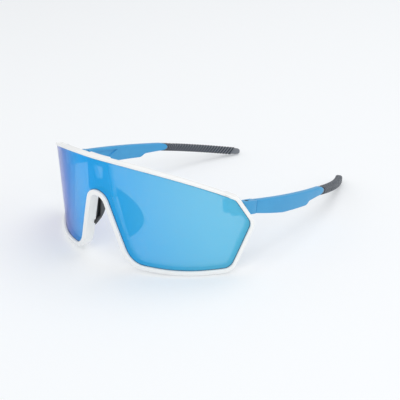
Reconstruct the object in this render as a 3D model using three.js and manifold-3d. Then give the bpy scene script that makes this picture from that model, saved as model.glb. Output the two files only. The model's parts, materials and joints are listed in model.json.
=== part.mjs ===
// Wraparound sport sunglasses: one curved shield lens in a full rim, two folding temples with rubber tips.
// Millimetres, +Z up, temples towards +Y, +X on the right as seen from the front.
// The parts are drawn as worn, from the top middle of the lens, and then set down as the glasses rest on a table.
import * as THREE from "three";
import { mergeVertices } from "three/addons/utils/BufferGeometryUtils.js";
import { TessellateModifier } from "three/addons/modifiers/TessellateModifier.js";
import Module from "manifold-3d";

const wasm = await Module();
wasm.setup();

// Lens: a slice of an upright cylinder that leans forward at the top.
const LENS_RADIUS = 84;
const LENS_TILT = THREE.MathUtils.degToRad(13);
const LENS_THICKNESS = 2;
const GAP = 0.3;

// Visible lens edge, right half, unrolled flat: [across, up, corner radius, side that follows].
const LENS_CORNERS = [
  [40.5, 0, 157, "top"],
  [77.6, -18.5, 5, "side"],
  [85.2, -32.4, 5, "side"],
  [73, -56, 6, "bottom"],
  [48, -57.2, 200, "bottom"],
  [19.3, -55.2, 12, "arch"],
  [6, -17.5, 8, "arch"],
];

// Rim: widths seen from the front, and its depths measured outward from the lens's front face.
const RIM_WIDTH = { top: 1.4, side: 2.1, bottom: 2.4, arch: 3 };
const LEDGE_WIDTH = { top: -1.4, side: -1.8, bottom: -1.3, arch: -1.2 };
const LENS_BITE = 0.5;
const RIM_FRONT = 1.3;
const RIM_BACK = -4.9;
const LEDGE_FRONT = -LENS_THICKNESS - GAP;
const WEB_STEP = 0.25;

// Along its top the rim is shallower: a region of its back and front, right half unrolled flat from the middle.
const TOP_REGION = [
  [12, -2.7],
  [40, -8.6],
  [57, -14.6],
  [74, -20.6],
  [74, 8],
];
const TOP_BACK = -3.2;
const TOP_FRONT = 0.6;

// Bridge panel behind the lens, with its window, and the gussets that carry the hinge blocks.
const BRIDGE_HALF_WIDTH = 8.2;
const WINDOW = { top: -4.9, bottom: -11.8, halfTop: 3.9, halfBottom: 2.4 };
const GUSSET = { inner: 74.8, low: -28.6, radius: 2.5, outerLow: 84, outerHigh: 78.2, high: -18.4 };

// Hinge block, as worn. A fork for the arm's tongue, closed on its outer side.
const HINGE = new THREE.Vector2(64.65, 48.2);
const JOINT_LINE_Y = 54.2;
const STUB_TOP = -12.8;
const LUG_HEIGHT = 2.1;
const TONGUE_HEIGHT = 2.5;
const TONGUE_GAP = 0.2;
const TONGUE_RADIUS = 1.4;
const STUB_BOTTOM = STUB_TOP - 2 * (LUG_HEIGHT + TONGUE_GAP) - TONGUE_HEIGHT;
const STUB_OUTER_X = 67;
const STUB_INNER_X = 62.8;
const WEB_INNER_X = 62.4;
const BLOCK = { front: 34, webBack: 45, stubFront: 46, slotFront: HINGE.y - 2.3, chamfer: 0.9, taper: 0.6 };
const SLOT_OUTER_X = HINGE.x + TONGUE_RADIUS + TONGUE_GAP;
const FOOT = { inner: 71.6, outer: 81.5, low: -27.6, high: -20, radius: 1.5 };
const FOOT_THICKNESS = 1.7;

// Hinge screw with its brass nut, and the small screw that holds each hinge block to the rim.
const PIN = { shank: 0.6, hole: 0.75, head: 1, headHeight: 0.6, seat: 1.2, seatDepth: 0.8 };
const NUT = { radius: 1.1, height: 1.2, seatDepth: 1.5 };
const FOOT_SCREW = { across: 76.6, up: -24, shank: 0.6, hole: 0.75, head: 1.2, headHeight: 0.6, length: 3.6 };

// Temple arm and ear tip.
const ARM_THICKNESS = 3.8;
const ARM_FLARE = THREE.MathUtils.degToRad(6.3);
const ARM_RADIUS = 182;
const TIP_START_Y = 113;
const TIP_RADIUS = 136;
const TIP_BEND = THREE.MathUtils.degToRad(23.6);
const TIP_THICKNESS = 4.2;
const TIP_HEIGHT = 4.7;
const TIP_DROP = 2.6;
const TANG = { thickness: 1.6, height: 2, bend: THREE.MathUtils.degToRad(12) };
const POCKET_DEPTH = 0.7;

// Nose pads: crescents behind the arch, each on a clip that plugs into the rim.
const PAD = { top: [7.1, -16.4], bottom: [13.5, -43.8], thickness: 2.2, flareDegrees: 18.4, behindRim: 0.6 };
const PAD_EDGE = { root: 0.6, upper: [0.4, 10.8], lower: [0.91, 18.4], end: 2.3, corner: 1.2 };
const CLIP = { thickness: 1.2, spine: 1.8, leg: 2.2, inset: 3.4, plug: 2.4, reach: 4.6 };

// Resting pose: the lower rim and the ear tips share one plane.
const REST_PITCH = THREE.MathUtils.degToRad(14.6);

const MATERIALS = {
  rim: new THREE.MeshStandardMaterial({ color: 0xf1f1ef, roughness: 0.25 }),
  lens: new THREE.MeshStandardMaterial({ color: 0x35a6ee, roughness: 0.08, metalness: 0.6 }),
  blue: new THREE.MeshStandardMaterial({ color: 0x4e9fdc, roughness: 0.45 }),
  rubber: new THREE.MeshStandardMaterial({ color: 0x5a6470, roughness: 0.8 }),
  clip: new THREE.MeshStandardMaterial({ color: 0x1b1d20, roughness: 0.5 }),
  steel: new THREE.MeshStandardMaterial({ color: 0x2c2f33, roughness: 0.35, metalness: 1 }),
  brass: new THREE.MeshStandardMaterial({ color: 0xb9964a, roughness: 0.4, metalness: 1 }),
};

// ---- solids ----

function toSolid(geometry) {
  const bare = geometry.clone();
  bare.deleteAttribute("normal");
  bare.deleteAttribute("uv");
  const merged = mergeVertices(bare, 1e-4);
  const vertProperties = merged.attributes.position.array;
  const triVerts = new Uint32Array(merged.index.array);
  return new wasm.Manifold(new wasm.Mesh({ numProp: 3, vertProperties, triVerts }));
}

function toGeometry(solid) {
  const { vertProperties, triVerts } = solid.getMesh();
  const geometry = new THREE.BufferGeometry();
  geometry.setAttribute("position", new THREE.BufferAttribute(vertProperties, 3));
  geometry.setIndex(new THREE.BufferAttribute(triVerts, 1));
  geometry.computeVertexNormals();
  return geometry;
}

// The other side's copy of a solid, with its faces turned back outwards.
function mirrored(geometry) {
  const copy = geometry.clone().scale(-1, 1, 1);
  const index = copy.index.array;
  for (let i = 0; i < index.length; i += 3) [index[i], index[i + 1]] = [index[i + 1], index[i]];
  copy.computeVertexNormals();
  return copy;
}

function otherSide(solid) {
  return toSolid(mirrored(toGeometry(solid)));
}

function extruded(shape, depth, curveSegments = 3) {
  return new THREE.ExtrudeGeometry(shape, { depth, bevelEnabled: false, curveSegments });
}

function polygon(points) {
  return new THREE.Shape(points.map(([x, y]) => new THREE.Vector2(x, y)));
}

// A closed outline through corners, each rounded by an arc: [x, y, radius].
function roundedShape(corners) {
  const shape = new THREE.Shape();
  corners.forEach(([x, y, radius], i) => {
    const corner = new THREE.Vector2(x, y);
    const [before, after] = [corners.at(i - 1), corners[(i + 1) % corners.length]];
    const back = new THREE.Vector2(before[0], before[1]).sub(corner).normalize();
    const ahead = new THREE.Vector2(after[0], after[1]).sub(corner).normalize();
    const half = Math.acos(back.dot(ahead)) / 2;
    const tangent = radius / Math.tan(half);
    const centre = corner.clone().addScaledVector(back.clone().add(ahead).normalize(), radius / Math.sin(half));
    const start = corner.clone().addScaledVector(back, tangent).sub(centre).angle();
    const end = corner.clone().addScaledVector(ahead, tangent).sub(centre).angle();
    shape.absarc(centre.x, centre.y, radius, start, end, back.cross(ahead) > 0);
  });
  return shape;
}

function roundedBox({ inner, outer, low, high, radius }) {
  return roundedShape([
    [inner, low, radius],
    [outer, low, radius],
    [outer, high, radius],
    [inner, high, radius],
  ]);
}

// ---- the front's outline ----

// The lens edge moved outward by an amount for each side; a hollow corner tightens as a round one widens.
function lensOutline(moves) {
  const right = LENS_CORNERS.map(([x, y, radius, side]) => ({ x, y, radius, side }));
  const left = right.map(({ x, y, radius }, i) => ({ x: -x, y, radius, side: i ? right[i - 1].side : "top" }));
  const corners = [...right, ...left.reverse()];
  const lines = corners.map((corner, i) => {
    const next = corners[(i + 1) % corners.length];
    const along = new THREE.Vector2(next.x - corner.x, next.y - corner.y).normalize();
    const out = new THREE.Vector2(-along.y, along.x);
    return { start: new THREE.Vector2(corner.x, corner.y).addScaledVector(out, moves[corner.side]), along };
  });
  const moved = corners.map((corner, i) => {
    const [a, b] = [lines.at(i - 1), lines[i]];
    const t = b.start.clone().sub(a.start).cross(b.along) / a.along.cross(b.along);
    const at = a.start.clone().addScaledVector(a.along, t);
    const growth = (moves[corner.side] + moves[corners.at(i - 1).side]) / 2;
    const hollow = a.along.cross(b.along) > 0;
    return [at.x, at.y, corner.radius + (hollow ? -growth : growth)];
  });
  return roundedShape(moved.reverse());
}

function grown(widths, by) {
  return Object.fromEntries(Object.entries(widths).map(([side, width]) => [side, width + by]));
}

const even = (width) => ({ top: width, side: width, bottom: width, arch: width });

// A point of the front: across and up its unrolled face, and out from the lens's front face.
function onFront(across, up, out) {
  const angle = across / LENS_RADIUS;
  const reach = LENS_RADIUS + out;
  const point = new THREE.Vector3(reach * Math.sin(angle), LENS_RADIUS - reach * Math.cos(angle), up);
  return point.applyAxisAngle(new THREE.Vector3(1, 0, 0), LENS_TILT);
}

// A flat outline given a thickness and bent round the lens's cylinder.
function wrapped(shape, back, front, longestEdge = 9) {
  const slab = extruded(shape, front - back).translate(0, 0, back);
  slab.deleteAttribute("normal");
  slab.deleteAttribute("uv");
  const fine = new TessellateModifier(longestEdge, 30).modify(slab);
  const position = fine.attributes.position;
  const point = new THREE.Vector3();
  for (let i = 0; i < position.count; i++) {
    point.fromBufferAttribute(position, i);
    position.setXYZ(i, ...onFront(point.x, point.y, point.z));
  }
  return toSolid(fine);
}

// ---- round pieces ----

function rod(radius, low, high, sides = 20) {
  const cylinder = new THREE.CylinderGeometry(radius, radius, high - low, sides);
  return cylinder.rotateX(Math.PI / 2).translate(0, 0, (low + high) / 2);
}

function hingeRod(radius, low, high) {
  return toSolid(rod(radius, low, high).translate(HINGE.x, HINGE.y, 0));
}

// A rod square to the front, at the foot screw's place.
function footRod(radius, back, front) {
  const { across, up } = FOOT_SCREW;
  const outward = onFront(across, up, 1).sub(onFront(across, up, 0));
  const turn = new THREE.Quaternion().setFromUnitVectors(new THREE.Vector3(0, 0, 1), outward);
  const at = onFront(across, up, 0);
  return toSolid(rod(radius, back, front, 16).applyQuaternion(turn).translate(at.x, at.y, at.z));
}

// ---- nose pads ----

// Along the arch downwards, then backwards with a flare, then towards the nose.
function padFrame() {
  const top = onFront(...PAD.top, RIM_BACK - PAD.behindRim);
  const down = onFront(...PAD.bottom, RIM_BACK - PAD.behindRim).sub(top);
  const length = down.length();
  const flare = THREE.MathUtils.degToRad(PAD.flareDegrees);
  down.normalize();
  const back = new THREE.Vector3(Math.sin(flare), Math.cos(flare), 0);
  back.addScaledVector(down, -back.dot(down)).normalize();
  const normal = new THREE.Vector3().crossVectors(down, back);
  return { matrix: new THREE.Matrix4().makeBasis(down, back, normal).setPosition(top), length };
}

function padSolid(length, matrix) {
  const shape = new THREE.Shape();
  const { root, upper, lower, end, corner } = PAD_EDGE;
  shape.moveTo(0, root);
  shape.bezierCurveTo(length * upper[0], upper[1], length * lower[0], lower[1], length, end);
  shape.quadraticCurveTo(length + corner / 3, root, length - corner, root);
  shape.closePath();
  return toSolid(extruded(shape, PAD.thickness, 8).applyMatrix4(matrix));
}

// A spine behind the pad with two legs that plug into the rim.
function clipSolid(length, matrix, room = 0) {
  const [a, b] = [CLIP.inset - room, CLIP.inset + CLIP.leg + room];
  const [c, d] = [length - b, length - a];
  const [plug, spine] = [-CLIP.plug - room, CLIP.reach - CLIP.spine - room];
  const shape = polygon([
    [a, plug],
    [b, plug],
    [b, spine],
    [c, spine],
    [c, plug],
    [d, plug],
    [d, CLIP.reach + room],
    [a, CLIP.reach + room],
  ]);
  const low = -GAP - CLIP.thickness - room;
  return toSolid(extruded(shape, CLIP.thickness + 2 * room).translate(0, 0, low).applyMatrix4(matrix));
}

// ---- front frame and lens ----

function makeLens() {
  return wrapped(lensOutline(even(LENS_BITE)), -LENS_THICKNESS, 0);
}

// A ring between two outlines, wrapped onto the front.
function wrappedRing(outer, inner, back, front) {
  const ring = lensOutline(outer);
  ring.holes.push(lensOutline(inner));
  return wrapped(ring, back, front);
}

// The web behind the lens over the nose, with its window.
function bridgePanel() {
  const shape = polygon([
    [-BRIDGE_HALF_WIDTH, 0.8],
    [-BRIDGE_HALF_WIDTH - 2, -20],
    [BRIDGE_HALF_WIDTH + 2, -20],
    [BRIDGE_HALF_WIDTH, 0.8],
  ]);
  const { top, bottom, halfTop, halfBottom } = WINDOW;
  const opening = roundedShape([
    [-halfTop, top, 0.8],
    [halfTop, top, 0.8],
    [halfBottom, bottom, 0.8],
    [-halfBottom, bottom, 0.8],
  ]);
  shape.holes.push(opening);
  return wrapped(shape, RIM_BACK + WEB_STEP, LEDGE_FRONT - WEB_STEP);
}

// Fills the ledge's upper outer corner, where the hinge block's screw bites.
function gusset() {
  const { inner, low, radius, outerLow, outerHigh, high } = GUSSET;
  const shape = roundedShape([
    [inner, low, radius],
    [outerLow, low, 0.2],
    [outerHigh, high, 0.2],
    [inner, high + 1, 0.2],
  ]);
  return wrapped(shape, RIM_BACK + WEB_STEP, LEDGE_FRONT - WEB_STEP);
}

function topRegion() {
  return polygon([...TOP_REGION.map(([x, y]) => [-x, y]).reverse(), ...TOP_REGION]);
}

// The rim stands in front of the lens and round it, and its ledge runs behind the lens edge.
function makeFrame(clip) {
  const section = wrappedRing(RIM_WIDTH, LEDGE_WIDTH, RIM_BACK, RIM_FRONT);
  const sight = wrappedRing(even(0), grown(LEDGE_WIDTH, -0.8), -LENS_THICKNESS / 2, RIM_FRONT + 1);
  const groove = wrappedRing(even(LENS_BITE + GAP), grown(LEDGE_WIDTH, -0.8), LEDGE_FRONT, GAP);
  const topBack = wrapped(topRegion(), RIM_BACK - 1, TOP_BACK);
  const topFront = wrapped(topRegion(), TOP_FRONT, RIM_FRONT + 1);
  const corner = gusset();
  const screwHole = footRod(FOOT_SCREW.hole, RIM_BACK - 1, LEDGE_FRONT - 0.5);
  const cuts = [screwHole, clip].flatMap((cut) => [cut, otherSide(cut)]);
  const ring = section.subtract(sight).subtract(groove).subtract(topBack).subtract(topFront);
  const whole = ring.add(bridgePanel()).add(corner).add(otherSide(corner));
  return cuts.reduce((frame, cut) => frame.subtract(cut), whole);
}

// ---- hinge block ----

function makeHingeBlock() {
  const back = JOINT_LINE_Y - GAP;
  const plan = polygon([
    [STUB_OUTER_X - BLOCK.taper, BLOCK.front],
    [STUB_OUTER_X, back],
    [HINGE.x - BLOCK.chamfer, back],
    [STUB_INNER_X, back - BLOCK.chamfer],
    [STUB_INNER_X, BLOCK.stubFront],
    [WEB_INNER_X, BLOCK.webBack],
    [WEB_INNER_X, BLOCK.front],
  ]);
  const body = toSolid(extruded(plan, STUB_TOP - STUB_BOTTOM).translate(0, 0, STUB_BOTTOM));
  const foot = wrapped(roundedBox(FOOT), RIM_BACK - GAP - FOOT_THICKNESS, RIM_BACK - GAP);
  const rimRoom = wrapped(lensOutline(grown(RIM_WIDTH, GAP)), RIM_BACK - GAP, 30);
  const slotLow = STUB_BOTTOM + LUG_HEIGHT;
  const slotHeight = TONGUE_HEIGHT + 2 * TONGUE_GAP;
  const slotPlan = polygon([
    [STUB_INNER_X - 1, BLOCK.slotFront],
    [SLOT_OUTER_X, BLOCK.slotFront],
    [SLOT_OUTER_X, JOINT_LINE_Y],
    [STUB_INNER_X - 1, JOINT_LINE_Y],
  ]);
  const slot = toSolid(extruded(slotPlan, slotHeight).translate(0, 0, slotLow));
  return body
    .subtract(rimRoom)
    .subtract(slot)
    .add(foot)
    .subtract(hingeRod(PIN.hole, STUB_BOTTOM - 1, STUB_TOP + 1))
    .subtract(hingeRod(PIN.seat, STUB_TOP - PIN.seatDepth, STUB_TOP + 1))
    .subtract(hingeRod(PIN.seat, STUB_BOTTOM - 1, STUB_BOTTOM + NUT.seatDepth))
    .subtract(footRod(FOOT_SCREW.hole, RIM_BACK - 4, RIM_BACK));
}

function makeHingeScrew() {
  const top = STUB_TOP - PIN.seatDepth + 0.15;
  const shank = hingeRod(PIN.shank, STUB_BOTTOM + 0.4, top + PIN.headHeight / 2);
  const head = hingeRod(PIN.head, top, top + PIN.headHeight);
  const slotShape = new THREE.BoxGeometry(2 * PIN.head + 1, 0.35, 0.6);
  slotShape.translate(HINGE.x, HINGE.y, top + PIN.headHeight);
  return shank.add(head).subtract(toSolid(slotShape));
}

function makeHingeNut() {
  const low = STUB_BOTTOM + 0.1;
  return hingeRod(NUT.radius, low, low + NUT.height).subtract(hingeRod(PIN.hole, low - 1, low + 3));
}

function makeFootScrew() {
  const seat = RIM_BACK - GAP - FOOT_THICKNESS - 0.15;
  const shank = footRod(FOOT_SCREW.shank, seat - 0.2, seat - FOOT_SCREW.headHeight + FOOT_SCREW.length);
  const head = footRod(FOOT_SCREW.head, seat - FOOT_SCREW.headHeight, seat);
  const { across, up } = FOOT_SCREW;
  const at = onFront(across, up, seat - FOOT_SCREW.headHeight);
  const slotShape = new THREE.BoxGeometry(0.3, 0.5, 4).rotateZ(across / LENS_RADIUS);
  return shank.add(head).subtract(toSolid(slotShape.translate(at.x, at.y, at.z)));
}

// ---- temple arm and ear tip ----

// The temple's outer face seen from above: an arc that bows out, then a tighter one behind the ear.
const ARM_CENTRE = new THREE.Vector2(STUB_OUTER_X, JOINT_LINE_Y).add(
  new THREE.Vector2(-Math.cos(ARM_FLARE), Math.sin(ARM_FLARE)).multiplyScalar(ARM_RADIUS),
);
const TIP_START_ANGLE = Math.asin((TIP_START_Y - ARM_CENTRE.y) / ARM_RADIUS);
const TIP_CENTRE = ARM_CENTRE.clone().add(
  new THREE.Vector2(Math.cos(TIP_START_ANGLE), Math.sin(TIP_START_ANGLE)).multiplyScalar(ARM_RADIUS - TIP_RADIUS),
);

// Plan of a stretch of the temple between two distances in from its outer face, from one angle to another.
function bandPlan(centre, radius, near, far, from, to) {
  const shape = new THREE.Shape();
  shape.absarc(centre.x, centre.y, radius - near, from, to, false);
  shape.absarc(centre.x, centre.y, radius - far, to, from, true);
  return shape;
}

function tipPlan(near, far, bend, lead = 0) {
  return bandPlan(TIP_CENTRE, TIP_RADIUS, near, far, TIP_START_ANGLE - lead, TIP_START_ANGLE + bend);
}

// Side view shapes are drawn with y to the right and z up, and extruded along X.
function sideExtruded(shape, curveSegments = 6) {
  const slab = extruded(shape, 90, curveSegments);
  slab.applyMatrix4(new THREE.Matrix4().set(0, 0, 1, 0, 1, 0, 0, 0, 0, 1, 0, 0, 0, 0, 0, 1));
  return toSolid(slab);
}

function planExtruded(shape, curveSegments = 6) {
  return toSolid(extruded(shape, 30, curveSegments).translate(0, 0, -35));
}

// The arm's plan, from a little ahead of the joint line to a little past the start of the tip.
function armPlan() {
  return bandPlan(ARM_CENTRE, ARM_RADIUS, 0, ARM_THICKNESS, -ARM_FLARE - 0.01, TIP_START_ANGLE + 0.03);
}

// Deep at the front, a step up two thirds of the way back, and a rounded end. Room makes the end fuller.
function armSide(room = 0) {
  const end = TIP_START_Y + room;
  const middle = STUB_TOP - TIP_HEIGHT / 2;
  const shape = new THREE.Shape();
  shape.moveTo(JOINT_LINE_Y, STUB_TOP);
  shape.lineTo(JOINT_LINE_Y, STUB_BOTTOM);
  shape.quadraticCurveTo(68, -21.4, 75.8, -21.8);
  shape.lineTo(96.6, -20.9);
  shape.bezierCurveTo(98.8, -20.8, 99.4, -18.8, 101.4, -18.6);
  shape.lineTo(end - 2, STUB_TOP - TIP_HEIGHT);
  shape.quadraticCurveTo(end + 3, STUB_TOP - TIP_HEIGHT, end + 3.6, middle);
  shape.quadraticCurveTo(end + 3.4, STUB_TOP, end - 2, STUB_TOP);
  return shape;
}

function tangSolid(room = 0) {
  const near = (ARM_THICKNESS - TANG.thickness) / 2 - room;
  const plan = tipPlan(near, near + TANG.thickness + 2 * room, TANG.bend + room / TIP_RADIUS);
  const middle = STUB_TOP - TIP_HEIGHT / 2;
  const half = TANG.height / 2 + room;
  const side = polygon([
    [TIP_START_Y - 2, middle - half],
    [170, middle - half - TIP_DROP * 1.1],
    [170, middle + half - TIP_DROP * 1.1],
    [TIP_START_Y - 2, middle + half],
  ]);
  return planExtruded(plan).intersect(sideExtruded(side));
}

function tongueSolid() {
  const shape = new THREE.Shape();
  shape.absarc(HINGE.x, HINGE.y, TONGUE_RADIUS, Math.PI, 2 * Math.PI, false);
  shape.lineTo(HINGE.x + TONGUE_RADIUS, JOINT_LINE_Y + 2);
  shape.lineTo(HINGE.x - TONGUE_RADIUS, JOINT_LINE_Y + 2);
  const low = STUB_BOTTOM + LUG_HEIGHT + TONGUE_GAP;
  return toSolid(extruded(shape, TONGUE_HEIGHT, 6).translate(0, 0, low));
}

// A shallow relief on the arm's inner face behind the hinge, ending in a slant.
function pocketSolid() {
  const inset = ARM_THICKNESS - POCKET_DEPTH;
  const plan = bandPlan(ARM_CENTRE, ARM_RADIUS, inset, inset + 20, -ARM_FLARE, TIP_START_ANGLE);
  const side = polygon([
    [61, STUB_TOP - 1.6],
    [78.5, STUB_TOP - 1.6],
    [70.5, -19.6],
    [61, -18.9],
  ]);
  return planExtruded(plan).intersect(sideExtruded(side));
}

function makeArm() {
  const body = planExtruded(armPlan()).intersect(sideExtruded(armSide()));
  return body.subtract(pocketSolid()).add(tangSolid()).add(tongueSolid()).subtract(hingeRod(PIN.hole, -30, 0));
}

function makeEarTip() {
  const wrap = (TIP_THICKNESS - ARM_THICKNESS) / 2;
  const plan = tipPlan(-wrap, ARM_THICKNESS + wrap, TIP_BEND, 0.02);
  const lean = TIP_DROP / 50;
  const start = TIP_START_Y - 2.5;
  const endY = 164;
  const top = (y) => STUB_TOP - lean * (y - start);
  const side = new THREE.Shape();
  side.moveTo(start, top(start));
  side.lineTo(start, top(start) - TIP_HEIGHT);
  side.lineTo(endY - 6, top(endY - 6) - TIP_HEIGHT);
  side.quadraticCurveTo(endY, top(endY) - TIP_HEIGHT, endY + 0.5, top(endY) - TIP_HEIGHT * 0.45);
  side.quadraticCurveTo(endY + 0.4, top(endY), endY - 3, top(endY - 3));
  const tip = planExtruded(plan, 10).intersect(sideExtruded(side));
  return tip.subtract(sideExtruded(armSide(GAP))).subtract(tangSolid(GAP));
}

// ---- assembly ----

const glasses = new THREE.Group();

function addPiece(name, solid, material) {
  const mesh = new THREE.Mesh(solid.isBufferGeometry ? solid : toGeometry(solid), MATERIALS[material]);
  mesh.name = name;
  glasses.add(mesh);
}

function addPair(name, solid, material) {
  const geometry = toGeometry(solid);
  addPiece(name + "_right", geometry, material);
  addPiece(name + "_left", mirrored(geometry), material);
}

const pad = padFrame();
addPiece("front_frame", makeFrame(clipSolid(pad.length, pad.matrix, GAP)), "rim");
addPiece("shield_lens", makeLens(), "lens");
addPair("nose_pad", padSolid(pad.length, pad.matrix), "rubber");
addPair("nose_pad_clip", clipSolid(pad.length, pad.matrix), "clip");
addPair("hinge_block", makeHingeBlock(), "blue");
addPair("hinge_block_screw", makeFootScrew(), "steel");
addPair("hinge_screw", makeHingeScrew(), "steel");
addPair("hinge_nut", makeHingeNut(), "brass");
addPair("temple_arm", makeArm(), "blue");
addPair("ear_tip", makeEarTip(), "rubber");

// Set down on the table, with the middle of the footprint at the origin.
glasses.rotation.x = -REST_PITCH;
const box = new THREE.Box3().setFromObject(glasses, true);
glasses.position.set(0, -(box.min.y + box.max.y) / 2, -box.min.z);

const part = new THREE.Group();
part.add(glasses);

export default part;
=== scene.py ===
import json
import math

import bmesh
import bpy
from mathutils import Matrix, Vector
from mathutils.geometry import interpolate_bezier


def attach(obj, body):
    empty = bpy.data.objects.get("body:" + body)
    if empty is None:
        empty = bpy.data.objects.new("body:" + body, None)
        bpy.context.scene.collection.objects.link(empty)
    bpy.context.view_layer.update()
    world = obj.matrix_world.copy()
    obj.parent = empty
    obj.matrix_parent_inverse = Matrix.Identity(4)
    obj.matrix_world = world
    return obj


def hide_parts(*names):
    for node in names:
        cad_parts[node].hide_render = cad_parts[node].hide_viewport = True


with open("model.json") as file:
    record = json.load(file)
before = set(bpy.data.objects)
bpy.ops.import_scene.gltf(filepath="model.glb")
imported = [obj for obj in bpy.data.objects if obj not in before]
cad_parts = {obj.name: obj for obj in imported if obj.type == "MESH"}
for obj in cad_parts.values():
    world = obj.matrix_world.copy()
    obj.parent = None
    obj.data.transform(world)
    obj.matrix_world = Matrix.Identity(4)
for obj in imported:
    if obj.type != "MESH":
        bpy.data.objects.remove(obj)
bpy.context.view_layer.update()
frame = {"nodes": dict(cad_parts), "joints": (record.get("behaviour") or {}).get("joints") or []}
print("frame loaded:", len(frame["nodes"]), "nodes")

# The glasses are drawn as worn, in millimetres from the top middle of the lens, and then tipped to how they
# rest. x is to the right, y back along the temples and z up.
worn = {
    "hinge": (64.65, 48.2, -16.35),  # middle of the right hinge pin
    "lensRadius": 84,
    "lensTilt": 13,  # degrees, top edge forward
    "lensThickness": 2,
}
rightFold = next(joint for joint in frame["joints"] if joint["name"] == "right_fold")
wornUp = Vector(rightFold["axis"]).normalized()
wornRight = Vector((1, 0, 0))
wornAxes = Matrix((wornRight, wornUp.cross(wornRight), wornUp)).transposed().to_4x4()
wornToRow = (
    Matrix.Translation(rightFold["pos_m"])
    @ wornAxes
    @ Matrix.Scale(0.001, 4)
    @ Matrix.Translation(-Vector(worn["hinge"]))
)


# ---- camera, light and floor ----

view = {
    "place": (0.4347225, -0.4328954, 0.2821755),
    "azimuth": 45.263,
    "elevation": 24.159,
    "roll": -5.165,
    "lens": 105.07,
}


def makeCamera():
    a, e, r = (math.radians(view[name]) for name in ("azimuth", "elevation", "roll"))
    level = Vector((math.cos(a), math.sin(a), 0))
    towards = Vector((math.sin(a) * math.cos(e), -math.cos(a) * math.cos(e), math.sin(e)))
    up = towards.cross(level)
    right = math.cos(r) * level + math.sin(r) * up
    up = math.cos(r) * up - math.sin(r) * level
    data = bpy.data.cameras.new("studio_camera")
    data.lens = view["lens"]
    data.clip_start = 0.01
    camera = bpy.data.objects.new("studio_camera", data)
    turned = Matrix((right, up, towards)).transposed().to_4x4()
    camera.matrix_world = Matrix.Translation(view["place"]) @ turned
    bpy.context.collection.objects.link(camera)
    bpy.context.scene.camera = camera


makeCamera()

studio = {
    "surroundings": "#f6f7f8",
    "surroundingsStrength": 0.62,
    "floorSide": 6,
    "floorColour": "#dddfe1",
    "floorGlow": 0.25,
    "floorRoughness": 0.9,
    "floorShine": 0.1,
    "lamps": [  # name, place in metres, side in metres, watts
        ("key", (0.55, -0.75, 0.95), 0.9, 3.8),
        ("fill", (-0.9, -0.5, 0.6), 0.9, 1.2),
        ("top", (0.1, 0.5, 1.1), 0.9, 3.7),
        ("side", (1.1, 0.35, 0.55), 0.6, 1.8),
    ],
}


def linearColour(hexText):
    parts = [int(hexText[i:i + 2], 16) / 255 for i in (1, 3, 5)]
    return [c / 12.92 if c <= 0.04045 else ((c + 0.055) / 1.055) ** 2.4 for c in parts] + [1]


def addNode(tree, kind, inputs={}, **settings):
    node = tree.nodes.new(kind)
    for name, value in settings.items():
        setattr(node, name, value)
    for name, value in inputs.items():
        socket = node.inputs[name]
        if isinstance(value, bpy.types.NodeSocket):
            tree.links.new(value, socket)
        else:
            socket.default_value = value
    return node


def newMaterial(name):
    material = bpy.data.materials.new(name)
    material.use_nodes = True
    shader = next(n for n in material.node_tree.nodes if n.type == "BSDF_PRINCIPLED")
    return material, material.node_tree, shader


def makeStudio():
    bpy.context.scene.view_settings.view_transform = "Standard"
    world = bpy.data.worlds.new("studio")
    bpy.context.scene.world = world
    world.use_nodes = True
    back = world.node_tree.nodes["Background"]
    back.inputs["Color"].default_value = linearColour(studio["surroundings"])
    back.inputs["Strength"].default_value = studio["surroundingsStrength"]
    for name, place, side, watts in studio["lamps"]:
        lamp = bpy.data.lights.new(name, "AREA")
        lamp.size = side
        lamp.energy = watts
        holder = bpy.data.objects.new(name, lamp)
        holder.location = place
        holder.rotation_euler = Vector(place).to_track_quat("Z", "Y").to_euler()
        bpy.context.collection.objects.link(holder)
    floorMaterial, _, shader = newMaterial("floor_paper")  # seamless paper, lit a little from beneath
    shader.inputs["Base Color"].default_value = linearColour(studio["floorColour"])
    shader.inputs["Roughness"].default_value = studio["floorRoughness"]
    shader.inputs["Specular IOR Level"].default_value = studio["floorShine"]
    shader.inputs["Emission Color"].default_value = linearColour(studio["surroundings"])
    shader.inputs["Emission Strength"].default_value = studio["floorGlow"]
    bm = bmesh.new()
    bmesh.ops.create_grid(bm, x_segments=1, y_segments=1, size=studio["floorSide"] / 2)
    mesh = bpy.data.meshes.new("floor")
    bm.to_mesh(mesh)
    bm.free()
    mesh.materials.append(floorMaterial)
    floor = bpy.data.objects.new("floor", mesh)
    bpy.context.collection.objects.link(floor)


makeStudio()
print("studio ready")


# ---- materials ----

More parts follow.
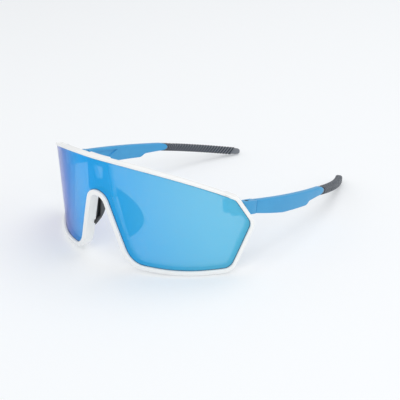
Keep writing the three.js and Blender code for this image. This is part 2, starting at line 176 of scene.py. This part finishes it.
# A moulded surface: a slow mottle in its colour and gloss, and the fine grain that the mould left.
def makeMoulded(name, finish):
    material, tree, shader = newMaterial(name)
    place = addNode(tree, "ShaderNodeTexCoord").outputs["Object"]
    mottle = addNode(tree, "ShaderNodeTexNoise", {
        "Vector": place, "Scale": 1000 / finish["mottleSize"], "Detail": 3.0,
    }).outputs[0]
    tint = addNode(tree, "ShaderNodeMix", {
        0: mottle, 6: linearColour(finish["dark"]), 7: linearColour(finish["light"]),
    }, data_type="RGBA").outputs[2]
    tree.links.new(tint, shader.inputs["Base Color"])
    smooth, rough = finish["roughness"]
    gloss = addNode(tree, "ShaderNodeMapRange", {"Value": mottle, "To Min": smooth, "To Max": rough})
    tree.links.new(gloss.outputs[0], shader.inputs["Roughness"])
    grain = addNode(tree, "ShaderNodeTexNoise", {
        "Vector": place, "Scale": 1000 / finish["grainSize"], "Detail": 2.0,
    }).outputs[0]
    bump = addNode(tree, "ShaderNodeBump", {
        "Height": grain, "Strength": finish["grainStrength"], "Distance": finish["grainDepth"] / 1000,
    })
    tree.links.new(bump.outputs[0], shader.inputs["Normal"])
    shader.inputs["IOR"].default_value = finish["ior"]
    shader.inputs["Metallic"].default_value = finish.get("metallic", 0)
    shader.inputs["Sheen Weight"].default_value = finish.get("sheen", 0)
    material["mould"] = finish["made"]
    return material


# sizes and depths in millimetres, roughness as smoothest and roughest
finishes = {
    # polished polyamide: a clean white with a broad soft shine
    "white_nylon_polished": {
        "made": "injection moulded in a polished tool", "dark": "#f7f8f7", "light": "#fdfdfc",
        "mottleSize": 14, "roughness": (0.2, 0.3), "grainSize": 0.9, "grainStrength": 0.12,
        "grainDepth": 0.02, "ior": 1.53,
    },
    # spark-textured polyamide: satin, so faces keep an even blue and edges catch a soft line;
    # its grain is drawn coarse to show
    "blue_nylon_satin": {
        "made": "injection moulded in a spark-eroded tool", "dark": "#3697cf", "light": "#42a6da",
        "mottleSize": 9, "roughness": (0.32, 0.44), "grainSize": 0.55, "grainStrength": 0.35,
        "grainDepth": 0.03, "ior": 1.53,
    },
    # thermoplastic elastomer: a slate grey with a soft bloom where it catches the light
    "slate_rubber_ribbed": {
        "made": "overmoulded elastomer", "dark": "#6c7178", "light": "#7b7f85", "mottleSize": 6,
        "roughness": (0.4, 0.54), "grainSize": 0.5, "grainStrength": 0.4, "grainDepth": 0.04, "ior": 1.5,
        "sheen": 0.25,
    },
    # the same rubber between the ribs, painted darker as the shade that falls in the grooves, and duller, so
    # the ribs read from afar
    "slate_rubber_groove_painted_shade": {
        "made": "overmoulded elastomer", "dark": "#383e47", "light": "#424851", "mottleSize": 6,
        "roughness": (0.7, 0.85), "grainSize": 0.5, "grainStrength": 0.4, "grainDepth": 0.04, "ior": 1.5,
    },
    # soft silicone of the nose pads: darker and a little smoother
    "dark_silicone_soft": {
        "made": "compression moulded silicone", "dark": "#44474b", "light": "#505459", "mottleSize": 4,
        "roughness": (0.5, 0.62), "grainSize": 0.5, "grainStrength": 0.25, "grainDepth": 0.03, "ior": 1.43,
    },
    # acetal clip: black with a waxy shine
    "black_acetal_clip": {
        "made": "moulded acetal", "dark": "#131416", "light": "#1d1f22", "mottleSize": 3,
        "roughness": (0.34, 0.46), "grainSize": 0.4, "grainStrength": 0.2, "grainDepth": 0.02, "ior": 1.48,
    },
    # turned and blackened steel: small dark heads with a tight highlight
    "blackened_steel_turned": {
        "made": "turned and blackened", "dark": "#2c2f33", "light": "#3c4046", "mottleSize": 1.5,
        "roughness": (0.28, 0.42), "grainSize": 0.3, "grainStrength": 0.2, "grainDepth": 0.01, "ior": 1.5,
        "metallic": 1,
    },
    # turned brass: warm yellow with fine tool marks
    "brass_turned": {
        "made": "turned from bar", "dark": "#a07c3a", "light": "#c09a52", "mottleSize": 1.5,
        "roughness": (0.3, 0.42), "grainSize": 0.3, "grainStrength": 0.2, "grainDepth": 0.01, "ior": 1.5,
        "metallic": 1,
    },
}
materials = {name: makeMoulded(name, finish) for name, finish in finishes.items()}

# Polycarbonate with a vacuum-coated blue mirror: a saturated blue from outside that lets a little light
# through, so what lies behind the lens shows as deeper blue. Its colour drifts by place across the lens,
# violet-blue
# at one end to pale green at the other: a painted reflection standing for the coat's shift with viewing
# angle.
mirrorCoat = {
    "paintedVioletEnd": "#1230cc", "middle": "#06b6ff", "paintedGreenEnd": "#66d0f4", "ends": (-0.054, -0.01, 0.07),
    "alpha": 0.68, "metallic": 0.5, "roughness": (0.08, 0.16), "hazeSize": 22,
    "rippleSize": 9, "rippleStrength": 0.05, "rippleDepth": 0.1, "ior": 1.58,
    "shine": 0.15,  # low, because the coat takes the place of the plain plastic's reflection
}


def makeMirrorLens():
    material, tree, shader = newMaterial("polycarbonate_blue_mirror")
    place = addNode(tree, "ShaderNodeTexCoord").outputs["Object"]
    across = addNode(tree, "ShaderNodeSeparateXYZ", {"Vector": place}).outputs["X"]
    haze = addNode(tree, "ShaderNodeTexNoise", {
        "Vector": place, "Scale": 1000 / mirrorCoat["hazeSize"], "Detail": 2.0,
    }).outputs[0]
    # the drift from violet-blue to pale green across the lens is a painted reflection, standing for the
    # coat's colour shift with viewing angle
    low, middle, high = mirrorCoat["ends"]
    lowPart = addNode(tree, "ShaderNodeMapRange", {"Value": across, "From Min": low, "From Max": middle},
                      interpolation_type="SMOOTHSTEP").outputs[0]
    highPart = addNode(tree, "ShaderNodeMapRange", {"Value": across, "From Min": middle, "From Max": high},
                       interpolation_type="SMOOTHSTEP").outputs[0]
    first = addNode(tree, "ShaderNodeMix", {
        0: lowPart, 6: linearColour(mirrorCoat["paintedVioletEnd"]), 7: linearColour(mirrorCoat["middle"]),
    }, data_type="RGBA").outputs[2]
    second = addNode(tree, "ShaderNodeMix", {
        0: highPart, 6: first, 7: linearColour(mirrorCoat["paintedGreenEnd"]),
    }, data_type="RGBA").outputs[2]
    tree.links.new(second, shader.inputs["Base Color"])
    smooth, rough = mirrorCoat["roughness"]
    gloss = addNode(tree, "ShaderNodeMapRange", {"Value": haze, "To Min": smooth, "To Max": rough}).outputs[0]
    tree.links.new(gloss, shader.inputs["Roughness"])
    ripple = addNode(tree, "ShaderNodeTexNoise", {
        "Vector": place, "Scale": 1000 / mirrorCoat["rippleSize"], "Detail": 1.0,
    }).outputs[0]
    bump = addNode(tree, "ShaderNodeBump", {
        "Height": ripple,
        "Strength": mirrorCoat["rippleStrength"],
        "Distance": mirrorCoat["rippleDepth"] / 1000,
    })
    tree.links.new(bump.outputs[0], shader.inputs["Normal"])
    shader.inputs["IOR"].default_value = mirrorCoat["ior"]
    shader.inputs["Metallic"].default_value = mirrorCoat["metallic"]
    shader.inputs["Specular IOR Level"].default_value = mirrorCoat["shine"]
    shader.inputs["Alpha"].default_value = mirrorCoat["alpha"]
    return material


materials["polycarbonate_blue_mirror"] = makeMirrorLens()

# The lens's outermost strip, painted dark as the shade of the gap where the lens meets the rim.
rimShadeStrip = {
    "made": "polycarbonate under painted rim shade", "dark": "#17506c", "light": "#1f6080", "mottleSize": 5,
    "roughness": (0.2, 0.3), "grainSize": 0.6, "grainStrength": 0.1, "grainDepth": 0.01, "ior": 1.58,
}
materials["polycarbonate_edge_painted_shade"] = makeMoulded("polycarbonate_edge_painted_shade", rimShadeStrip)
print("materials ready:", len(materials))


# ---- shared shaping ----

# Places each point of a shape, turns it into the row frame, and makes it a piece of the glasses.
def finishPiece(name, bm, place, body, materialName, cadNode, side=1, sharp=35):
    for vert in bm.verts:
        vert.co = wornToRow @ place(vert.co)
        vert.co.x *= side
    bmesh.ops.remove_doubles(bm, verts=bm.verts, dist=1e-6)
    bmesh.ops.recalc_face_normals(bm, faces=bm.faces)
    return addObject(name, bm, body, materialName, cadNode, sharp)


def addObject(name, bm, body, materialName, cadNode, sharp):
    for face in bm.faces:
        face.smooth = True
    for edge in bm.edges:
        edge.smooth = edge.calc_face_angle(0) < math.radians(sharp)
    loose = sum(1 for edge in bm.edges if not edge.is_manifold)
    if loose:
        print("open edges on", name, loose)
    mesh = bpy.data.meshes.new(name)
    bm.to_mesh(mesh)
    bm.free()
    mesh.materials.append(materials[materialName])
    piece = bpy.data.objects.new(name, mesh)
    bpy.context.collection.objects.link(piece)
    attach(piece, body)
    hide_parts(cadNode)
    return piece


arcSteps = {"long": 12, "short": 6, "longFrom": 100}  # an arc is long from this radius in millimetres


# A closed loop through corners (x, y, radius), each rounded by an arc that one point is spun along.
def roundedLoop(bm, corners, height):
    ring, ends = [], []
    for i, (x, y, radius) in enumerate(corners):
        corner = Vector((x, y))
        back = (Vector(corners[i - 1][:2]) - corner).normalized()
        ahead = (Vector(corners[(i + 1) % len(corners)][:2]) - corner).normalized()
        half = back.angle(ahead) / 2
        turn = (math.pi - 2 * half) * (-1 if back.cross(ahead) > 0 else 1)
        centre = corner + (back + ahead).normalized() * radius / math.sin(half)
        start = bm.verts.new((*(corner + back * radius / math.tan(half)), height))
        count = len(bm.verts)
        steps = arcSteps["long" if radius > arcSteps["longFrom"] else "short"]
        spun = bmesh.ops.spin(
            bm, geom=[start], cent=(*centre, height), axis=(0, 0, 1), angle=turn, steps=steps
        )
        bm.verts.ensure_lookup_table()
        ring += [start] + bm.verts[count:]
        ends.append((start, spun["geom_last"][0]))
    for i, (start, _) in enumerate(ends):
        bm.edges.new((ends[i - 1][1], start))
    return ring


def ringEdges(bm, ring):
    return [bm.edges.get((ring[i - 1], vert)) for i, vert in enumerate(ring)]


# Extrudes a loop and moves it to the next outline.
def growLoop(bm, ring, corners, height):
    grown = bmesh.ops.extrude_edge_only(bm, edges=ringEdges(bm, ring))["geom"]
    fresh = {item for item in grown if isinstance(item, bmesh.types.BMVert)}
    pattern = bmesh.new()
    following = []
    for vert, target in zip(ring, roundedLoop(pattern, corners, height)):
        moved = next(e.other_vert(vert) for e in vert.link_edges if e.other_vert(vert) in fresh)
        moved.co = target.co
        following.append(moved)
    pattern.free()
    return following


# A ring whose section runs through outlines (corners, height) and closes on itself.
def sweepSection(bm, section):
    rings = [roundedLoop(bm, *section[0])]
    for corners, height in section[1:] + section[:1]:
        rings.append(growLoop(bm, rings[-1], corners, height))
    bmesh.ops.weld_verts(bm, targetmap=dict(zip(rings[-1], rings[0])))
    return rings[:-1]


# A flat outline made a slab upwards; returns the edges round its two faces.
def raiseSlab(bm, face, thickness):
    grown = bmesh.ops.extrude_face_region(bm, geom=[face])["geom"]
    raised = [item for item in grown if isinstance(item, bmesh.types.BMVert)]
    bmesh.ops.translate(bm, verts=raised, vec=(0, 0, thickness))
    return [e for e in bm.edges if abs(e.verts[0].co.z - e.verts[1].co.z) < 1e-6]


def bevelEdges(bm, edges, width, segments=3):
    bmesh.ops.bevel(
        bm, geom=edges, offset=width, segments=segments, profile=0.5,
        affect="EDGES", material=-1, clamp_overlap=True,
    )


# Cuts a flat shape across its first axis, so that it can bend.
def cutAcross(bm, low, high, step):
    along = Vector((1, 0, 0))
    for i in range(int((high - low) / step) + 1):
        geometry = bm.verts[:] + bm.edges[:] + bm.faces[:]
        at = along * (low + i * step)
        bmesh.ops.bisect_plane(bm, geom=geometry, dist=1e-4, plane_co=at, plane_no=along)


# ---- the front: lens, rim and the webs behind the lens ----

# Right half of the lens's visible edge, unrolled flat: across, up, corner radius, side that follows.
lensCorners = [
    (40.5, 0, 157, "top"),
    (77.6, -18.5, 5, "side"),
    (85.2, -32.4, 5, "side"),
    (73, -56, 6, "bottom"),
    (48, -57.2, 200, "bottom"),
    (19.3, -55.2, 12, "arch"),
    (6, -17.5, 8, "arch"),
]
rim = {
    "outer": {"top": 1.4, "side": 2.1, "bottom": 2.4, "arch": 3},
    "ledge": {"top": -1.4, "side": -1.8, "bottom": -1.3, "arch": -1.2},
    "front": 1.3,
    "back": -4.9,
    "topFront": 0.6,
    "topBack": -3.2,
    "topReach": 74,
    "topBand": (-10, 0.2),  # the top band lies above this height, less this much for each millimetre across
    "lensBite": 0.5,
    "lensGap": 0.12,
    "grooveRoom": 0.3,
    "edgeStrip": 0.3,
    "cuts": (-87, 87, 3),
    "lensCuts": (-86, 86, 2),
    "rounding": [(0, 0.6, 4), (7, 0.8, 4), (1, 0.3, 3), (6, 0.4, 2)],  # section corner, width, segments
}


def evenMove(width):
    return {"top": width, "side": width, "bottom": width, "arch": width}


# The lens edge moved outward by an amount for each side, as rounded corners.
def lensOutline(moves):
    right = [list(corner) for corner in lensCorners]
    left = [[-x, y, radius, right[i - 1][3] if i else "top"] for i, (x, y, radius, _) in enumerate(right)]
    corners = right + left[::-1]
    lines = []
    for i, (x, y, _, side) in enumerate(corners):
        following = corners[(i + 1) % len(corners)]
        along = Vector((following[0] - x, following[1] - y)).normalized()
        lines.append((Vector((x, y)) + Vector((-along.y, along.x)) * moves[side], along))
    moved = []
    for i, (_, _, radius, side) in enumerate(corners):
        (startA, alongA), (startB, alongB) = lines[i - 1], lines[i]
        turn = alongA.cross(alongB)
        at = startA + alongA * (startB - startA).cross(alongB) / turn
        growth = (moves[side] + moves[corners[i - 1][3]]) / 2
        moved.append((at.x, at.y, radius - growth if turn > 0 else radius + growth))
    return moved[::-1]


tilt = Matrix.Rotation(math.radians(worn["lensTilt"]), 3, "X")


# A point of the front: across and up its unrolled face, and out from the lens's front face.
def onFront(point):
    across, up, out = point
    angle = across / worn["lensRadius"]
    reach = worn["lensRadius"] + out
    return tilt @ Vector((reach * math.sin(angle), worn["lensRadius"] - reach * math.cos(angle), up))


def makeRim():
    bm = bmesh.new()
    groove = evenMove(rim["lensBite"] + rim["grooveRoom"])
    lensBack = -worn["lensThickness"] - rim["lensGap"]
    section = [
        (rim["outer"], rim["front"]),
        (evenMove(0), rim["front"]),
        (evenMove(0), rim["lensGap"]),
        (groove, rim["lensGap"]),
        (groove, lensBack),
        (rim["ledge"], lensBack),
        (rim["ledge"], rim["back"]),
        (rim["outer"], rim["back"]),
    ]
    rings = sweepSection(bm, [(lensOutline(moves), out) for moves, out in section])
    for index, width, segments in rim["rounding"]:
        bevelEdges(bm, ringEdges(bm, rings[index]), width, segments)
    cutAcross(bm, *rim["cuts"])
    bandHeight, bandFall = rim["topBand"]
    for vert in bm.verts:  # the band along the top is shallower
        across, up, out = vert.co
        if abs(across) < rim["topReach"] and up > bandHeight - bandFall * abs(across):
            if out > rim["topFront"] / 2:
                vert.co.z += rim["topFront"] - rim["front"]
            elif out < rim["topBack"]:
                vert.co.z += rim["topBack"] - rim["back"]
    finishPiece("rim", bm, onFront, "front", "white_nylon_polished", "front_frame")


def makeLens():
    bm = bmesh.new()
    ring = roundedLoop(bm, lensOutline(evenMove(rim["lensBite"])), -worn["lensThickness"])
    raiseSlab(bm, bm.faces.new(ring), worn["lensThickness"])
    bmesh.ops.recalc_face_normals(bm, faces=bm.faces)
    outer = max(bm.faces, key=lambda face: face.calc_center_median().z)
    strip = bmesh.ops.inset_region(
        bm, faces=[outer], thickness=rim["lensBite"] + rim["edgeStrip"], use_even_offset=True
    )["faces"]
    # the strip round the lens's edge takes the dark material: a painted shade line where the lens meets the
    # rim
    for face in strip:
        face.material_index = 1
    cutAcross(bm, *rim["lensCuts"])
    lens = finishPiece(
        "mirror_lens", bm, onFront, "front", "polycarbonate_blue_mirror", "shield_lens"
    )
    lens.data.materials.append(materials["polycarbonate_edge_painted_shade"])


webs = {
    "front": -2.2,
    "back": -4.75,
    "round": 0.25,
    "cuts": (-84, 84, 3),
    "bridge": [(-10.2, -20, 1), (10.2, -20, 1), (8.2, 0.8, 1), (-8.2, 0.8, 1)],
    "window": [(-2.4, -11.8, 0.8), (2.4, -11.8, 0.8), (3.9, -4.9, 0.8), (-3.9, -4.9, 0.8)],
    "corner": [(74.8, -28.6, 2.5), (84, -28.6, 0.3), (78.2, -18.4, 0.3), (74.8, -17.4, 0.3)],
}


# A flat panel between two depths, with an opening when one is given.
def makeWeb(name, outline, opening=None, side=1):
    bm = bmesh.new()
    back, front = webs["back"], webs["front"]
    if opening:
        rings = sweepSection(bm, [(outline, front), (opening, front), (opening, back), (outline, back)])
        edges = [edge for ring in rings for edge in ringEdges(bm, ring)]
    else:
        edges = raiseSlab(bm, bm.faces.new(roundedLoop(bm, outline, back)), front - back)
    bevelEdges(bm, edges, webs["round"], 2)
    cutAcross(bm, *webs["cuts"])
    finishPiece(name, bm, onFront, "front", "white_nylon_polished", "front_frame", side)


makeRim()
makeLens()
makeWeb("bridge_web", webs["bridge"], webs["window"])
makeWeb("corner_web_right", webs["corner"])
makeWeb("corner_web_left", webs["corner"], side=-1)
print("front ready")


# ---- nose pads ----

nosePad = {
    "top": (7.1, -16.4), "bottom": (13.5, -43.8), "behindRim": 0.6, "thickness": 2.2, "flare": 18.4,
    "root": 0.6, "upper": (0.4, 10.8), "lower": (0.91, 18.4), "end": 2.3, "corner": 1.2,
    "heel": (0.15, 0.5),  # past the pad's end, above its root
    "round": 0.8,
}


def makeNosePad(name, side):
    behind = rim["back"] - nosePad["behindRim"]
    top = onFront((*nosePad["top"], behind))
    down = onFront((*nosePad["bottom"], behind)) - top
    length = down.length
    down.normalize()
    flare = math.radians(nosePad["flare"])
    back = Vector((math.sin(flare), math.cos(flare), 0))
    back = (back - back.dot(down) * down).normalized()
    padToWorn = Matrix.Translation(top) @ Matrix((down, back, down.cross(back))).transposed().to_4x4()
    root, corner = nosePad["root"], nosePad["corner"]
    (upperShare, upperDeep), (lowerShare, lowerDeep) = nosePad["upper"], nosePad["lower"]
    bulge = interpolate_bezier(
        Vector((0, root, 0)), Vector((length * upperShare, upperDeep, 0)),
        Vector((length * lowerShare, lowerDeep, 0)), Vector((length, nosePad["end"], 0)), 28,
    )
    bm = bmesh.new()
    past, above = nosePad["heel"]
    foot = [bm.verts.new((length + past, root + above, 0)), bm.verts.new((length - corner, root, 0))]
    face = bm.faces.new([bm.verts.new(p) for p in bulge] + foot)
    bevelEdges(bm, raiseSlab(bm, face, nosePad["thickness"]), nosePad["round"], 4)
    finishPiece(
        name, bm, lambda p: padToWorn @ p, "front", "dark_silicone_soft", name, side, 50
    )


for sideName, side in (("right", 1), ("left", -1)):
    makeNosePad("nose_pad_" + sideName, side)
print("nose pads ready")


# ---- temple arms ----

arm = {
    "thickness": 3.8, "outerX": 67, "jointY": 54.2, "top": -12.8, "bottom": -19.9,
    "flare": 6.3, "bow": 182, "bendY": 113, "bendRadius": 136, "round": 0.8,
    "cuts": (56, 117, 3),
    "tongue": {"radius": 1.4, "hole": 0.75, "corner": 0.2, "low": -17.6, "high": -15.1, "end": 56.2},
    "recess": {
        "depth": 0.7, "wall": 0.35,
        "corners": [(61, -14.4), (78.5, -14.4), (70.5, -19.6), (61, -18.9)],
    },
    "tip": {"height": 4.7, "thickness": 4.2, "length": 56, "drop": 0.052, "dropFrom": 111},
}
armFlare = math.radians(arm["flare"])
armCentreX = arm["outerX"] - arm["bow"] * math.cos(armFlare)
armCentreY = arm["jointY"] + arm["bow"] * math.sin(armFlare)
tipStart = math.asin((arm["bendY"] - armCentreY) / arm["bow"])
tipCentreX = armCentreX + (arm["bow"] - arm["bendRadius"]) * math.cos(tipStart)
tipCentreY = armCentreY + (arm["bow"] - arm["bendRadius"]) * math.sin(tipStart)


# A point of the arm: back, up and in from its bowed outer face.
def onArm(point):
    y, z, inset = point
    if y < arm["bendY"]:
        return Vector((armCentreX + math.sqrt((arm["bow"] - inset) ** 2 - (y - armCentreY) ** 2), y, z))
    return Vector((tipCentreX + math.sqrt((arm["bendRadius"] - inset) ** 2 - (y - tipCentreY) ** 2), y, z))


def curve(points, count):
    return interpolate_bezier(*[Vector((*p, 0)) for p in points], count)[1:]


def armProfile():
    top, bottom, joint = arm["top"], arm["bottom"], arm["jointY"]
    low = top - arm["tip"]["height"]
    middle = (top + low) / 2
    points = [Vector((joint, top, 0)), Vector((joint, bottom, 0))]
    points += curve([(joint, bottom), (63.4, -20.9), (70.6, -21.53), (75.8, -21.8)], 7)
    points += [Vector((96.6, -20.9, 0))]
    points += curve([(96.6, -20.9), (98.8, -20.8), (99.4, -18.8), (101.4, -18.6)], 7)
    points += [Vector((111, low, 0))]
    points += curve([(111, low), (114.3, low), (116.2, -16.72), (116.6, middle)], 7)
    points += curve([(116.6, middle), (116.47, -13.58), (114.6, top), (111, top)], 7)
    return points


# Cuts a sunken panel with sloping walls into the flat face of a slab.
def sinkPanel(bm, panelShape, height):
    depth, wall = panelShape["depth"], panelShape["wall"]
    points = [Vector((*corner, height)) for corner in panelShape["corners"]]
    for i, point in enumerate(points):
        along = point - points[i - 1]
        faces = [f for f in bm.faces if all(abs(v.co.z - height) < 1e-6 for v in f.verts)]
        geometry = {item for f in faces for item in (f, *f.edges, *f.verts)}
        across = Vector((-along.y, along.x, 0)).normalized()
        bmesh.ops.bisect_plane(bm, geom=list(geometry), dist=1e-4, plane_co=point, plane_no=across)
    middle = sum(points, Vector()) / len(points)
    flat = (f for f in bm.faces if all(abs(v.co.z - height) < 1e-6 for v in f.verts))
    panel = min(flat, key=lambda f: (f.calc_center_median() - middle).length)
    bmesh.ops.inset_individual(bm, faces=[panel], thickness=wall, depth=-depth, use_even_offset=True)


def makeArm(sideName, side):
    bm = bmesh.new()
    edges = raiseSlab(bm, bm.faces.new([bm.verts.new(p) for p in armProfile()]), arm["thickness"])
    bevelEdges(bm, edges, arm["round"], 3)
    bmesh.ops.recalc_face_normals(bm, faces=bm.faces)
    sinkPanel(bm, arm["recess"], arm["thickness"])
    cutAcross(bm, *arm["cuts"])
    name = "temple_arm_" + sideName
    finishPiece(
        name, bm, onArm, "temple_" + sideName, "blue_nylon_satin", name, side
    )


# The arm's tongue, a rounded eye that turns on the hinge screw.
def makeTongue(sideName, side):
    tongue = arm["tongue"]
    x, y, _ = worn["hinge"]
    wide, hole, corner = tongue["radius"], tongue["hole"], tongue["corner"]
    outline = [(x - wide, y - wide, wide), (x + wide, y - wide, wide),
               (x + wide, tongue["end"], corner), (x - wide, tongue["end"], corner)]
    eye = [(x + i * hole, y + j * hole, hole) for i, j in ((-1, -1), (1, -1), (1, 1), (-1, 1))]
    low, high = tongue["low"], tongue["high"]
    bm = bmesh.new()
    sweepSection(bm, [(outline, low), (eye, low), (eye, high), (outline, high)])
    finishPiece(
        "temple_tongue_" + sideName, bm, lambda p: p, "temple_" + sideName,
        "blue_nylon_satin", "temple_arm_" + sideName, side,
    )


# A point of the ear tip: along its bend, up and in from its middle.
def onTip(point):
    along, up, inwards = point
    angle = tipStart + along / arm["bendRadius"]
    reach = arm["bendRadius"] - arm["thickness"] / 2 - inwards
    x, y = tipCentreX + reach * math.cos(angle), tipCentreY + reach * math.sin(angle)
    drop = arm["tip"]["drop"] * max(0, y - arm["tip"]["dropFrom"])
    return Vector((x, y, arm["top"] - arm["tip"]["height"] / 2 + up - drop))


ribs = {"pitch": 1.9, "depth": 0.4, "foot": 0.3, "crest": 0.7, "slant": 0.75, "first": 2.4, "stop": 5}
earTip = {
    "plug": 7, "plugShrink": 1,  # the part hidden in the arm
    "lip": 0.01, "plain": 1.6, "corner": 1.3,
    "collar": (-2.2, 5.9),  # where the curved joint with the arm starts, and how far it bows
    "blend": (1, 9),  # where the joint's curve starts to turn into the ribs' slant, and over what length
    "end": [(2.6, 0), (1, 0.2), (0.3, 0.6), (0, 1.1)],  # before the end, and how much slimmer
    "lift": 0.1, "liftOver": 7,  # how much the underside rises towards the end
}


def makeEarTip(sideName, side):
    tip = arm["tip"]
    halfHeight, halfThickness, length = tip["height"] / 2, tip["thickness"] / 2, tip["length"]
    core, foot, crest = ribs["depth"], ribs["foot"], ribs["crest"]
    plug, shrunk = earTip["plug"], earTip["plugShrink"]
    # each section: its place, how much slimmer it is, and the material of the wall before it (1, the groove
    # material, is painted shade between the ribs)
    sections = [(-plug, shrunk, 0), (0, shrunk, 0), (earTip["lip"], core, 0), (earTip["plain"], core, 0)]
    position = ribs["first"]
    while position < length - ribs["stop"]:
        rise, fall = position + foot, position + foot + crest
        sections += [(position, core, 1), (rise, 0, 1), (fall, 0, 0), (fall + foot, core, 1)]
        position += ribs["pitch"]
    sections += [(length - before, core + slimmer, 0) for before, slimmer in earTip["end"]]
    bm = bmesh.new()
    corners = [(-halfHeight, -halfThickness), (halfHeight, -halfThickness),
               (halfHeight, halfThickness), (-halfHeight, halfThickness)]
    face = bm.faces.new([bm.verts.new((0, up, inwards)) for up, inwards in corners])
    bmesh.ops.bevel(
        bm, geom=bm.verts[:], offset=earTip["corner"], segments=3, profile=0.5, affect="VERTICES", material=-1
    )
    face = bm.faces[:][0]
    base = [v.co.copy() for v in face.verts]
    collarStart, collarBow = earTip["collar"]
    blendFrom, blendOver = earTip["blend"]
    liftOver = earTip["liftOver"]
    for index, (along, shrink, grooveShade) in enumerate(sections):
        if index:
            grown = bmesh.ops.extrude_discrete_faces(bm, faces=[face])["faces"]
            face = grown[0]
            for wall in {f for edge in face.edges for f in edge.link_faces} - {face}:
                wall.material_index = grooveShade
            face.material_index = 0
        scaleUp, scaleIn = 1 - shrink / halfHeight, 1 - shrink / halfThickness
        blendIn = min(1, max(0, (along - blendFrom) / blendOver))
        ending = max(0, (along - length + liftOver) / liftOver)
        for vert, start in zip(face.verts, base):
            up = start.y * scaleUp
            collar = collarStart + collarBow * math.sqrt(max(0, 1 - (start.y / halfHeight) ** 2))
            joint = collar if along > -plug else 0
            lead = (1 - blendIn) * joint + blendIn * ribs["slant"] * up * (1 - ending)
            up = halfHeight * scaleUp - (halfHeight * scaleUp - up) * (1 - earTip["lift"] * ending ** 2)
            vert.co = Vector((along + lead, up, start.z * scaleIn))
    bmesh.ops.holes_fill(bm, edges=[e for e in bm.edges if e.is_boundary], sides=0)
    name = "ear_tip_" + sideName
    piece = finishPiece(
        name, bm, onTip, "temple_" + sideName, "slate_rubber_ribbed", name, side, 40
    )
    # the second material paints shade on the walls between the ribs
    piece.data.materials.append(materials["slate_rubber_groove_painted_shade"])


for sideName, side in (("right", 1), ("left", -1)):
    makeArm(sideName, side)
    makeTongue(sideName, side)
    makeEarTip(sideName, side)
print("temples ready")


# ---- hinge blocks, clips, screws and nuts ----

softening = {"join": 2e-6, "flat": 1, "edge": 35, "sharp": 40}  # metres, then degrees


# A moulded or turned piece whose solid is right: a merged copy of it with its edges broken.
def makeSoftened(node, body, materialName, width):
    bm = bmesh.new()
    bm.from_mesh(frame["nodes"][node].data)
    bmesh.ops.remove_doubles(bm, verts=bm.verts, dist=softening["join"])
    flat = math.radians(softening["flat"])
    bmesh.ops.dissolve_limit(bm, angle_limit=flat, verts=bm.verts, edges=bm.edges)
    edges = [e for e in bm.edges if e.calc_face_angle(0) > math.radians(softening["edge"])]
    bevelEdges(bm, edges, width / 1000, 2)
    addObject(node, bm, body, materialName, node, softening["sharp"])


smallParts = [  # solid, material, slot, edge rounding in millimetres
    ("hinge_block", "blue_nylon_satin", "temple_blue", 0.22),
    ("nose_pad_clip", "black_acetal_clip", "clip_black", 0.15),
    ("hinge_block_screw", "blackened_steel_turned", "screw_steel", 0.06),
    ("hinge_screw", "blackened_steel_turned", "screw_steel", 0.06),
    ("hinge_nut", "brass_turned", "nut_brass", 0.08),
]
for part, materialName, slotName, width in smallParts:
    for sideName in ("right", "left"):
        makeSoftened(part + "_" + sideName, "front", materialName, width)
print("hinges ready")
